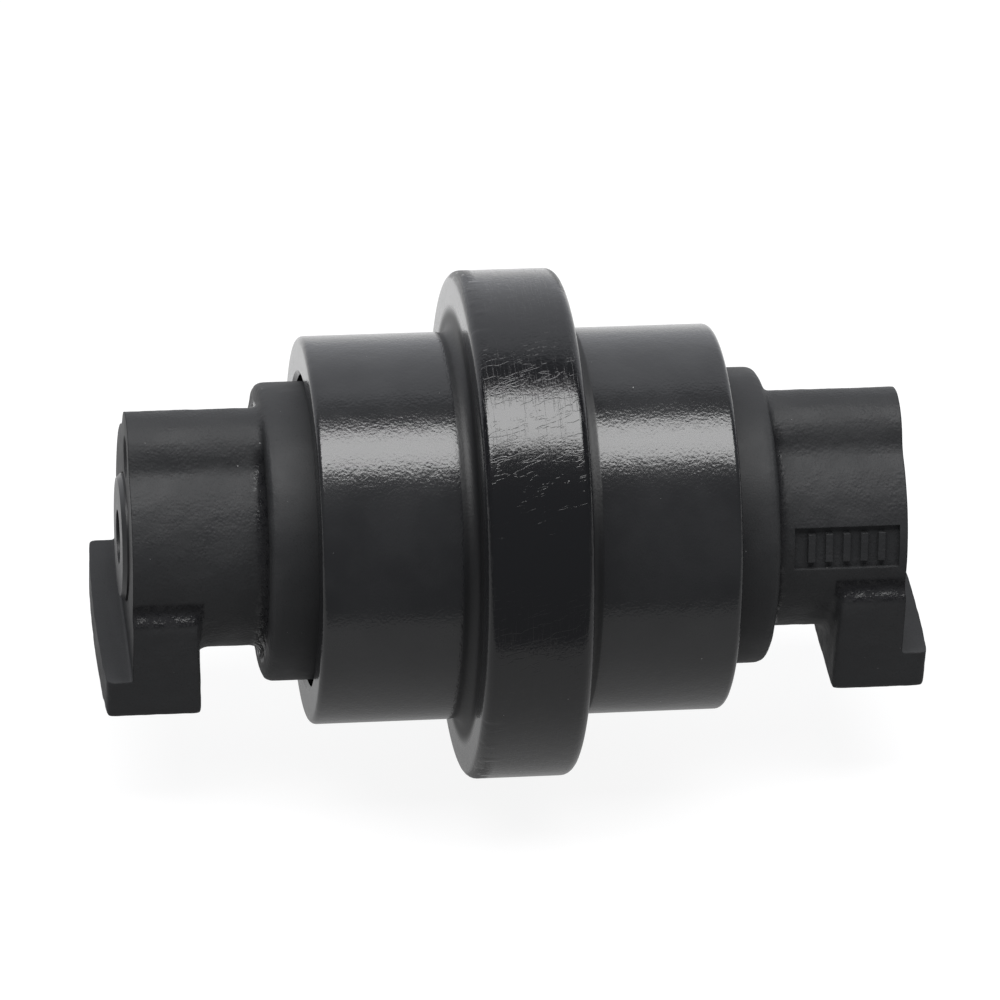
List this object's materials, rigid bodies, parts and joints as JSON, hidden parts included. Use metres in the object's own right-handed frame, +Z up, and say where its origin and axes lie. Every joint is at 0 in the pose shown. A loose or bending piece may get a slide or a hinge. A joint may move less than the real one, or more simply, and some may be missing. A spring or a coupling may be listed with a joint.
{
  "type": "track roller",
  "caption": "Flanged track roller on a fixed shaft between two cast end collars, each with a hook foot and a tapped bolt boss, sealed and bushed inside.",
  "frame": {"origin": "middle of the shell, on the shaft's centre line", "axes": "+Y along the shaft towards the right-hand collar, +Z up towards the bolt bosses, +X across the roller along the machine's travel"},
  "size_m": [0.14, 0.2286, 0.14],
  "materials": {
    "shell_paint": "semi-gloss black paint over turned steel",
    "cast_paint": "semi-gloss black paint over cast iron",
    "shaft_steel": "ground steel with black paint on the ends",
    "bearing_bronze": "turned bronze",
    "hard_steel": "lapped hard steel",
    "seal_rubber": "matt nitrile rubber",
    "pin_steel": "oiled spring steel",
    "plug_steel": "black painted steel plug",
    "copper": "soft copper"
  },
  "bodies": {
    "fixed_shaft": {"shaft": "shaft_steel", "left_end_collar": "cast_paint", "right_end_collar": "cast_paint", "left_thrust_washer": "hard_steel", "right_thrust_washer": "hard_steel", "left_fixed_seal_ring": "hard_steel", "right_fixed_seal_ring": "hard_steel", "left_fixed_toric": "seal_rubber", "right_fixed_toric": "seal_rubber", "left_shaft_oring": "seal_rubber", "right_shaft_oring": "seal_rubber", "left_lock_pin": "pin_steel", "right_lock_pin": "pin_steel", "oil_plug": "plug_steel", "plug_seal": "copper"},
    "roller": {"roller_shell": "shell_paint", "left_bush": "bearing_bronze", "right_bush": "bearing_bronze", "left_rotating_seal_ring": "hard_steel", "right_rotating_seal_ring": "hard_steel", "left_rotating_toric": "seal_rubber", "right_rotating_toric": "seal_rubber"}
  },
  "joints": [
    {"name": "roller_spin", "type": "hinge", "parent": "fixed_shaft", "child": "roller", "pos_m": [0, 0, 0], "axis": [0, 1, 0], "continuous": true}
  ]
}
